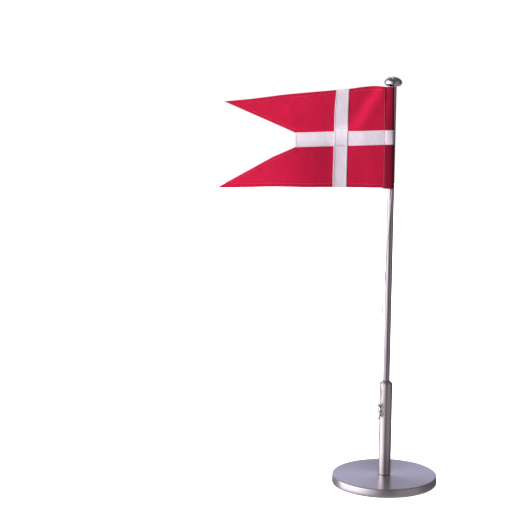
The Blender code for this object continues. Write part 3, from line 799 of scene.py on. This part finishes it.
# How steeply the hanging cloth runs away from the viewer, at each s, above and below the band
SLOPE_HIGH = [(9, -0.05), (16, -0.03), (24, 0.0), (57, -0.02), (70, -0.015), (84, 0.01), (100, 0.03),
              (160, 0.035)]
SLOPE_LOW = [(9, -0.1), (18, -0.06), (28, -0.02), (42, -0.02), (52, -0.09), (62, -0.13), (72, -0.12),
             (84, -0.06), (96, 0.0), (108, 0.05), (120, 0.085), (165, 0.09)]


def drift(table, s):
    """The slopes added up from the seam as far as s."""
    total = 0.0
    for (s0, m0), (s1, m1) in zip(table, table[1:]):
        if s <= s0:
            break
        end = min(s, s1)
        total += (end - s0) * (m0 + (m1 - m0) * (end - s0) / (s1 - s0) / 2)
    return total


def billow(s, h):
    """How far the cloth stands away from the viewer, in mm, at a place of its cut."""
    away = step(s, SEAM, SEAM + 26)
    high = step(h, 38, 58)
    wave = drift(SLOPE_HIGH, s) * high + drift(SLOPE_LOW, s) * (1 - high)
    wave += 1.2 * away * math.exp(-(((s - 62) / 22) ** 2) - ((h - 58) / 12) ** 2)
    crease = 0.0
    if h > 50:
        off = (s - 18) * 0.833 - (85.3 - h) * 0.553
        reach = step(h, 50, 60) * (1 - step(s, 44, 60))
        crease = 0.85 * reach * math.tanh(off / 4.2) * math.exp(-((off / 13) ** 2))
    slack = 0.55 * away * noise.noise(Vector((s / 46, h / 40, 3.1)))
    fine = 0.16 * noise.noise(Vector((s / 11, h / 13, 7.7)))
    pucker = 0.10 * math.sin(h * 1.45) * math.exp(-abs(s - SEAM) / 2.2)
    for table in (UPRIGHT_NEAR, UPRIGHT_FAR):
        beside = abs(s - rounded(table, h))
        pucker += 0.07 * math.sin(h * 1.2 + s) * math.exp(-beside / 1.6)
    return -0.95 + wave + crease + slack + fine + pucker


SLEEVE = [(-8.9, -0.52), (-8.1, -0.56), (-7.3, -0.58), (-6.2, -0.28), (-4.8, 0.34), (-3.0, 0.95)]
SLEEVE += [(-1.2, 1.30), (0.3, 1.34), (1.2, 1.02), (1.72, 0.5), (1.85, 0.0), (1.72, -0.5)]
SLEEVE += [(1.2, -1.02), (0.3, -1.38), (-1.2, -1.52), (-3.0, -1.52), (-4.8, -1.36), (-6.2, -1.12)]


def sleeve_curve():
    """The sleeve's cross-section, from its turned-in edge behind, round the halyard, to the seam."""
    line = smooth_line([Vector((x, y, 0)) for x, y in SLEEVE], 0.45)
    return [(p.x, p.y) for p in line]


def flag_point(x, y, h):
    """World place of a point in the flag's own frame: x and y in mm, and h above the foot."""
    local = Vector((x, y, h)) * MM + Vector((0, 0, FLAG_BOTTOM - FLAG_PIVOT.z))
    lean = Matrix.Rotation(-FLAG_LEAN, 3, "Y")
    return FLAG_PIVOT + lean @ local


class Cloth:
    """The flag's middle surface as a function of its cut. The sleeve is at s below the seam, and runs
    on round the halyard to its turned-in edge behind."""

    def __init__(self):
        self.profile = sleeve_curve()[::-1]
        self.lengths = [0.0]
        for (x0, y0), (x1, y1) in zip(self.profile, self.profile[1:]):
            self.lengths.append(self.lengths[-1] + math.hypot(x1 - x0, y1 - y0))
        self.back = SEAM - 1.0 - self.lengths[-1]

    def local(self, s, h):
        """x and y in the flag's frame at s and h. s falls from the seam round the sleeve."""
        bulge = billow(SEAM, h)
        if s >= SEAM:
            return HOIST_EDGE - s, billow(s, h)
        along = SEAM - 1.0 - s
        if along < 0:
            y = self.profile[0][1]
            return HOIST_EDGE - s, y + (bulge - y) * step(-along, 0.0, 1.0)
        x = float(np.interp(along, self.lengths, [p[0] for p in self.profile]))
        y = float(np.interp(along, self.lengths, [p[1] for p in self.profile]))
        gather = 0.10 * noise.noise(Vector((x / 5, h / 4.5, 1.3 if y < 0 else 6.1)))
        near = step(-x, 4.5, 8.0)
        return x, y + gather + (bulge + 0.95) * near * 0.6

    def place(self, s, h, lift=0.0):
        """World point, lifted off the middle surface by so many mm towards the outer side."""
        x, y = self.local(s, h)
        if lift:
            x0, y0 = self.local(s - 0.25, h)
            x1, y1 = self.local(s + 0.25, h)
            _, below = self.local(s, h - 0.5)
            _, above = self.local(s, h + 0.5)
            tangent = Vector((x1 - x0, y1 - y0, 0)).normalized()
            rise = Vector((0, above - below, 1.0)).normalized()
            inward = tangent.cross(rise).normalized()
            x, y, h = Vector((x, y, h)) - inward * lift
        return flag_point(x, y, h)


def head(s):
    return rounded(HEAD_LINE, s, 4.0)


def foot(s):
    return rounded(FOOT_LINE, s)


def outer_limit(share, upper):
    """How far out a row runs that is this share of the way from the band to the flag's outer edge."""
    tail = UPPER_TAIL if upper else LOWER_TAIL
    band = BAND_HIGH if upper else BAND_LOW
    edge = head if upper else foot
    s = NOTCH
    for _ in range(60):
        row = along_line(band, s) + (edge(s) - along_line(band, s)) * share
        line = along_line(tail, s)
        gap = (row - line) * (1 if upper else -1)
        if abs(gap) < 0.003:
            break
        s = min(tail[-1][0], s + gap * 0.9)
    return s


def cloth_rows():
    """Rows of the cut from the foot up: (True above the band, None on it and False below it; the
    share of the way out; where the row ends)."""
    rows = []
    for i in range(25):
        share = 1 - i / 24
        rows.append((False, share, outer_limit(share, False) if i else LOWER_TAIL[-1][0]))
    for i in range(1, 8):
        rows.append((None, i / 8, NOTCH))
    for i in range(25):
        share = i / 24
        rows.append((True, share, outer_limit(share, True) if i < 24 else UPPER_TAIL[-1][0]))
    return rows


def row_height(kind, share, s):
    low, high = along_line(BAND_LOW, s), along_line(BAND_HIGH, s)
    if kind is None:
        return low + (high - low) * share
    if kind:
        return high + (head(s) - high) * share
    return low + (foot(s) - low) * share


def strip(cloth_, lines, lifts):
    """A grid over the cloth. lines is rows of (s, h) pairs, and lifts gives the height off it."""
    verts, faces, uvs, flat = [], [], [], []
    width = len(lines[0])
    for line in lines:
        for s, h in line:
            verts.append(cloth_.place(s, h, lifts(s, h)))
            flat.append((s * MM * FLAT_SCALE, h * MM * FLAT_SCALE))
    for i in range(len(lines) - 1):
        for j in range(width - 1):
            a = i * width + j
            face = (a, a + 1, a + width + 1, a + width)
            faces.append(face)
            uvs += [flat[k] for k in face]
    return verts, faces, uvs


def ply(name, parts, finish, thickness, ply_shade, replaced=()):
    """A piece of cloth that rides on the flag, made from grids of its middle surface. Its shade
    function gives, at each point, the share of painted shade for light a second ply behind keeps back."""
    piece = link(name, mesh_from(name, *joined(parts)), finish, "flag", replaced)
    shape = bmesh.new()
    shape.from_mesh(piece.data)
    bmesh.ops.remove_doubles(shape, verts=shape.verts, dist=2e-6)
    bmesh.ops.dissolve_degenerate(shape, edges=shape.edges, dist=1e-6)
    bmesh.ops.recalc_face_normals(shape, faces=shape.faces)
    shape.to_mesh(piece.data)
    shape.free()
    piece.data.shade_smooth()
    solid = piece.modifiers.new("Thickness", "SOLIDIFY")
    solid.thickness = thickness * MM
    solid.offset = 0.0
    solid.use_even_offset = True
    bake_modifiers(piece, 50)
    # painted shade share for each vertex, read by the cloth material
    values = np.array([ply_shade(v.co) for v in piece.data.vertices], np.float32)
    piece.data.attributes.new("painted_ply_shade", "FLOAT", "POINT").data.foreach_set("value", values)
    return piece


def cut_place(point):
    """(s, h) in mm of a world point on the flag."""
    lean = Matrix.Rotation(FLAG_LEAN, 3, "Y")
    local = (lean @ (Vector(point) - FLAG_PIVOT)) / MM
    return HOIST_EDGE - local.x, local.z + (FLAG_PIVOT.z - FLAG_BOTTOM) / MM


def red_ply_shade(point):
    """Share of painted shade where a second ply lies behind the red cloth: the sleeve's back,
    darker towards its foot where it stands in the pole's shade, and the hems.
    """
    s, h = cut_place(point)
    sleeve = 1 - step(s, SEAM - 0.5, SEAM + 0.2)
    hem = 0.0
    if s > SEAM and (h < foot(s) + 3.4 or (h > 60 and h > head(s) - 3.0)):
        hem = 0.12
    # painted shade: 0.95 low on the sleeve, down to 0.55 at its top; 0.12 on the hems
    return max(sleeve * (0.95 - 0.4 * step(h, 40, 95)), hem)


def main_cloth_rows(back):
    """Rows of (s, h) pairs over the whole cut, from the sleeve's turned-in edge to the fly."""
    lines = []
    for kind, share, end in cloth_rows():
        line = []
        for i in range(46):
            s = back + (SEAM - back) * i / 46
            h = row_height(kind, share, max(0.0, s))
            if kind is False and share > 0.5:
                h -= 0.8 * (share - 0.5) * 2
            line.append((s, h))
        for i in range(84):
            s = SEAM + (end - SEAM) * i / 83
            line.append((s, row_height(kind, share, s)))
        lines.append(line)
    return lines


def band_rows(start, count):
    """Rows of (s, h) pairs along the white fly band, from s at start to the notch."""
    stops = [start + (NOTCH - 0.05 - start) * i / (count - 1) for i in range(count)]
    return [[(s, row_height(None, j / 8, max(0.0, s))) for s in stops] for j in range(9)]


def upright_rows():
    lines = []
    for j in range(9):
        line = []
        for i in range(100):
            share = i / 99
            near, far = rounded(UPRIGHT_NEAR, 93 * share), rounded(UPRIGHT_FAR, 93 * share)
            s = near + (far - near) * j / 8
            line.append((s, foot(s) - 0.12 + (head(s) - foot(s) + 0.24) * share))
        lines.append(line)
    return lines


def make_flag(red, white, red_thread, white_thread):
    """The flag's pieces. Returns the main cloth, what is sewn to it, and its flat area in m2."""
    cloth_ = Cloth()
    back = cloth_.back
    reds = ["red_hoist_upper", "red_hoist_lower", "red_fly_upper", "red_fly_lower"]
    parts = [strip(cloth_, main_cloth_rows(back), lambda s, h: 0.0)]
    flag = ply("flag_cloth", parts, red, CLOTH, red_ply_shade, reds)

    lift = CLOTH / 2 + RIBBON / 2 + PLY_GAP
    parts = [strip(cloth_, band_rows(back, 140), lambda s, h: lift)]
    parts.append(strip(cloth_, band_rows(SEAM + 1.4, 90), lambda s, h: -lift))
    # painted shade on the band where it runs into the sleeve, with a second ply behind it
    band = ply("white_band", parts, white, RIBBON,
               lambda p: 0.75 * (1 - step(cut_place(p)[0], SEAM - 0.5, SEAM + 0.3)), ["white_fly_band"])

    def over_band(s, h):
        low, high = along_line(BAND_LOW, s), along_line(BAND_HIGH, s)
        return lift + (RIBBON + PLY_GAP) * step(h, low - 1.2, low) * (1 - step(h, high, high + 1.2))

    parts = [strip(cloth_, upright_rows(), lambda s, h: side * over_band(s, h)) for side in (1, -1)]
    upright = ply("white_upright", parts, white, RIBBON, lambda p: 0.0,
                  ["white_upright_upper", "white_upright_lower"])
    # painted shade: the hems are mixed a tenth of the way to the second-ply shade colour
    hems = ply("flag_hems", hem_strips(cloth_), red, HEM, lambda p: 0.1)

    red_lines, white_lines, seam_lines = seams()
    sewn = [
        stitches("stitches_red", cloth_, red_lines, red_thread),
        stitches("stitches_white", cloth_, white_lines, white_thread),
        stitches("stitches_seam", cloth_, seam_lines, red_thread, 0.14),
    ]
    outline = [(back, FOOT_LINE[0][1]), *FOOT_LINE, LOWER_TAIL[1], LOWER_TAIL[0], UPPER_TAIL[0]]
    outline += [*HEAD_LINE[::-1], (back, HEAD_LINE[0][1])]
    return flag, [band, upright, hems, *sewn], polygon_area(outline) * MM**2


def polygon_area(points):
    total = 0.0
    for (x0, y0), (x1, y1) in zip(points, points[1:] + points[:1]):
        total += x0 * y1 - x1 * y0
    return abs(total) / 2


def hem_strips(cloth_):
    """The turned edge behind the head, the foot and the tails' inner edges."""
    lift = -(CLOTH / 2 + HEM / 2 + 0.03)
    parts = []
    edges = [
        (lambda s: foot(s) + 0.05, 1, SEAM + 1.6, UPRIGHT_NEAR[0][1] - 0.1),
        (lambda s: foot(s) + 0.05, 1, UPRIGHT_FAR[0][1] + 0.1, 158.0),
        (lambda s: head(s) - 0.05, -1, SEAM + 1.6, UPRIGHT_NEAR[-1][1] - 0.1),
        (lambda s: head(s) - 0.05, -1, UPRIGHT_FAR[-1][1] + 1.0, 151.0),
        (lambda s: along_line(UPPER_TAIL, s) + 0.05, 1, NOTCH + 0.8, 150.0),
        (lambda s: along_line(LOWER_TAIL, s) - 0.05, -1, NOTCH + 0.8, 157.0),
    ]
    for edge, way, start, stop in edges:
        lines = []
        for j in range(5):
            line = []
            for i in range(120):
                s = start + (stop - start) * i / 119
                upper = along_line(LOWER_TAIL, s) if s >= NOTCH and edge(s) <= 45 else head(s)
                lower = along_line(UPPER_TAIL, s) if s >= NOTCH and edge(s) > 45 else foot(s)
                room = max(0.2, (upper - lower) / 2 - 0.15)
                line.append((s, edge(s) + way * min(4.2, room) * j / 4))
            lines.append(line)
        parts.append(strip(cloth_, lines, lambda s, h: lift))
    return parts


def seams():
    """Lines of (s, h) pairs to sew along, each with the side of the cloth it shows on."""
    red, white, seam = [], [], []

    def run(points, into, sides=(1, -1)):
        for side in sides:
            into.append((points, side))

    for start, stop in ((SEAM + 1, UPRIGHT_NEAR[0][1] - 0.4), (UPRIGHT_FAR[0][1] + 0.4, 151)):
        run([(s, foot(s) + 3.4) for s in np.linspace(start, stop, 90)], red)
    for start, stop in ((SEAM + 1, UPRIGHT_NEAR[-1][1] - 0.4), (UPRIGHT_FAR[-1][1] + 0.6, 140)):
        run([(s, head(s) - 3.2) for s in np.linspace(start, stop, 90)], red)
    run([(SEAM + 0.1, h) for h in np.linspace(45.0, 50.3, 8)], red, (1,))
    run([(s, along_line(UPPER_TAIL, s) + 3.0) for s in np.linspace(NOTCH - 1, 136, 60)], red)
    run([(s, along_line(LOWER_TAIL, s) - 3.0) for s in np.linspace(NOTCH - 1, 143, 70)], red)
    for table, shift in ((BAND_LOW, 0.75), (BAND_HIGH, -0.75)):
        run([(s, along_line(table, s) + shift) for s in np.linspace(0.5, NOTCH - 0.8, 120)], white)
    for table, shift in ((UPRIGHT_NEAR, 0.75), (UPRIGHT_FAR, -0.75)):
        points = []
        for h in np.linspace(0.6, 92.5, 120):
            s = rounded(table, h) + shift
            if foot(s) + 0.3 < h < head(s) - 0.3:
                points.append((s, h))
        run(points, white)
    run([(NOTCH - 1.0, h) for h in np.linspace(39.4, 50.6, 14)], white)
    run([(SEAM - 0.1, h) for h in np.linspace(0.2, 44.9, 50)], seam, (1,))
    run([(SEAM - 0.1, h) for h in np.linspace(50.4, 93.6, 50)], seam, (1,))
    return red, white, seam


def stitches(name, cloth_, lines, finish, thick=0.12):
    """Short raised stitches along each line, with a small gap between one and the next."""
    parts = []
    for points, side in lines:
        walked = [0.0]
        for (s0, h0), (s1, h1) in zip(points, points[1:]):
            walked.append(walked[-1] + math.hypot(s1 - s0, h1 - h0))
        for i in range(int(walked[-1] / STITCH_PITCH)):
            path = []
            for share, rise in ((0.04, -0.06), (0.16, 0.07), (0.5, 0.1), (0.84, 0.07), (0.96, -0.06)):
                d = (i + share) * STITCH_PITCH
                s = float(np.interp(d, walked, [p[0] for p in points]))
                h = float(np.interp(d, walked, [p[1] for p in points]))
                ribbon = ribbon_height(s, h)
                layers = CLOTH / 2 + ribbon
                if side < 0 and s > SEAM and not ribbon:
                    layers += CLOTH
                path.append(cloth_.place(s, h, side * (layers + rise)))
            parts.append(tube(path, thick * MM, 6, i * 0.002))
    return link(name, mesh_from(name, *joined(parts)), finish, "flag")


def ribbon_height(s, h):
    """Height of the ribbons on the cloth at a place of the cut."""
    on_band = along_line(BAND_LOW, s) < h < along_line(BAND_HIGH, s)
    on_upright = rounded(UPRIGHT_NEAR, h) < s < rounded(UPRIGHT_FAR, h)
    return (on_band + on_upright) * (RIBBON + PLY_GAP)


# Studio


def make_stage():
    bpy.context.scene.view_settings.view_transform = "Standard"
    shape = bmesh.new()
    bmesh.ops.create_circle(shape, cap_ends=True, radius=1.7, segments=96)
    mesh = bpy.data.meshes.new("floor")
    shape.to_mesh(mesh)
    shape.free()
    sh = Shader("floor")
    floor = placed("floor", mesh)
    mesh.materials.append(sh.finish(Base_Color=(0.86, 0.86, 0.865, 1), Roughness=0.9,
                                    Specular_IOR_Level=0.1, Emission_Color=(1, 1, 1, 1),
                                    Emission_Strength=0.4))
    floor.visible_glossy = False
    floor.visible_diffuse = False


def make_world():
    """A plain studio: a tall soft light to the left, a pale ceiling and floor, and dim walls."""
    world = bpy.data.worlds.new("studio")
    bpy.context.scene.world = world
    world.use_nodes = True
    sh = Shader.__new__(Shader)
    sh.tree = world.node_tree
    way = sh.node("ShaderNodeTexCoord").outputs["Generated"]
    x, y, z = sh.separate(way)
    turn = sh.math("ARCTAN2", x, sh.times(y, -1.0))  # 0 towards the front, + to the right
    degrees = sh.times(turn, 180 / math.pi)
    left = sh.times(sh.ramp(degrees, -120.0, -104.0), sh.ramp(degrees, -72.0, 6.0, 1.0, 0.0))
    left = sh.times(left, sh.ramp(z, 0.75, 0.95, 1.0, 0.0))
    left = sh.times(left, sh.ramp(z, -0.32, -0.12, 0.5, 1.0))
    rear = sh.plus(sh.ramp(degrees, -132.0, -160.0), sh.ramp(degrees, 148.0, 176.0, 0.0, 0.85))
    rear = sh.times(rear, sh.ramp(z, 0.45, 0.7, 1.0, 0.25))
    rear = sh.times(rear, sh.ramp(z, -0.1, 0.04))
    right = sh.times(sh.ramp(degrees, 12.0, 40.0), sh.ramp(degrees, 70.0, 105.0, 1.0, 0.0))
    aside = sh.times(sh.ramp(degrees, -104.0, -125.0), 0.2)
    level = sh.plus(sh.plus(0.12, aside), sh.times(left, 2.6))
    level = sh.plus(level, sh.times(right, 0.19))
    grey = sh.combine(level, level, level)
    colour = sh.mix(1.0, grey, (1.0, 0.93, 0.98, 1.0), "MULTIPLY")
    colour = sh.mix(rear, colour, (0.63, 0.62, 0.81, 1.0))
    colour = sh.mix(sh.ramp(z, 0.5, 0.9), colour, (0.13, 0.12, 0.135, 1.0))
    colour = sh.mix(sh.ramp(z, -0.34, -0.6), colour, (0.36, 0.34, 0.36, 1.0))
    path = sh.node("ShaderNodeLightPath").outputs
    dimmed = sh.mix(1.0, colour, (0.42, 0.42, 0.42, 1.0), "MULTIPLY")
    colour = sh.mix(path["Is Diffuse Ray"], colour, dimmed)
    colour = sh.mix(path["Is Camera Ray"], colour, (1.0, 1.0, 1.0, 1.0))
    shade = sh.tree.nodes["Background"]
    sh.put(shade.inputs["Color"], colour)
    shade.inputs["Strength"].default_value = 1.0
    area_light("key", (-2.15, -0.72, 0.95), (-0.03, 0, 0.3), (0.6, 0.9), 110.0, (1.0, 0.985, 0.99))
    area_light("fill", (0.9, -2.2, 0.9), (-0.03, 0, 0.25), (1.2, 1.0), 4.0, (1.0, 0.99, 1.0))
    area_light("back", (-0.9, 2.2, 1.0), (-0.03, 0, 0.25), (1.2, 1.0), 16.0, (1.0, 0.99, 1.0))
    top = area_light("top", (0.0, 0.0, 2.8), (0, 0, 0), (4.0, 4.0), 260.0, (1.0, 1.0, 1.0))
    lit = bpy.data.collections.new("lit_by_top")
    lit.objects.link(bpy.data.objects["floor"])
    top.light_linking.receiver_collection = lit


def finish_node(frame, name, material):
    node = frame["nodes"][name]
    node.data.materials.clear()
    node.data.materials.append(material)


def main():
    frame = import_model()
    make_camera()
    # second colour: painted shade in the grooves between strands
    thread = twisted("halyard_thread", (0.70, 0.69, 0.70), (0.30, 0.295, 0.30), 1.6 * MM)
    make_halyard(thread)
    make_knots(thread)
    satin = turned_metal("satin_steel", (0.66, 0.63, 0.655), 0.33, 0.65)
    bright = drawn_metal("bright_steel", (0.55, 0.52, 0.555), 0.15)
    dull = drawn_metal("cleat_steel", (0.36, 0.34, 0.36), 0.26)
    make_cover(satin)
    make_post(satin)
    make_cleat(dull)
    # painted highlight: the truck gets a brighter copy of the mast's polished steel, to brighten its
    # highlight
    brightened_steel = drawn_metal("truck_highlight_steel", (0.62, 0.59, 0.625), 0.15)
    make_pole(bright)
    make_truck(brightened_steel)
    make_stud(bright)
    finish_node(frame, "ballast_disc", blank_metal("grey_iron", (0.17, 0.17, 0.18), 0.6, 900.0))
    finish_node(frame, "base_pad", foam("black_foam"))
    zinc = blank_metal("zinc", (0.52, 0.52, 0.54), 0.35, 1600.0)
    finish_node(frame, "lock_washer", zinc)
    finish_node(frame, "post_screw", zinc)
    # second colour of each cloth: painted shade where a second ply lies behind
    red = cloth("red_cloth", (0.62, 0.009, 0.056), (0.18, 0.002, 0.02), 0.16)
    white = cloth("white_cloth", (0.87, 0.785, 0.88), (0.66, 0.57, 0.66), 0.1)
    # second colours: painted shade in the threads' grooves
    red_thread = twisted("red_thread", (0.94, 0.15, 0.23), (0.56, 0.03, 0.08), 0.9 * MM)
    white_thread = twisted("white_thread", (0.94, 0.80, 0.87), (0.82, 0.64, 0.72), 0.9 * MM)
    flag, sewn_on, area = make_flag(red, white, red_thread, white_thread)
    make_stage()
    make_world()


main()
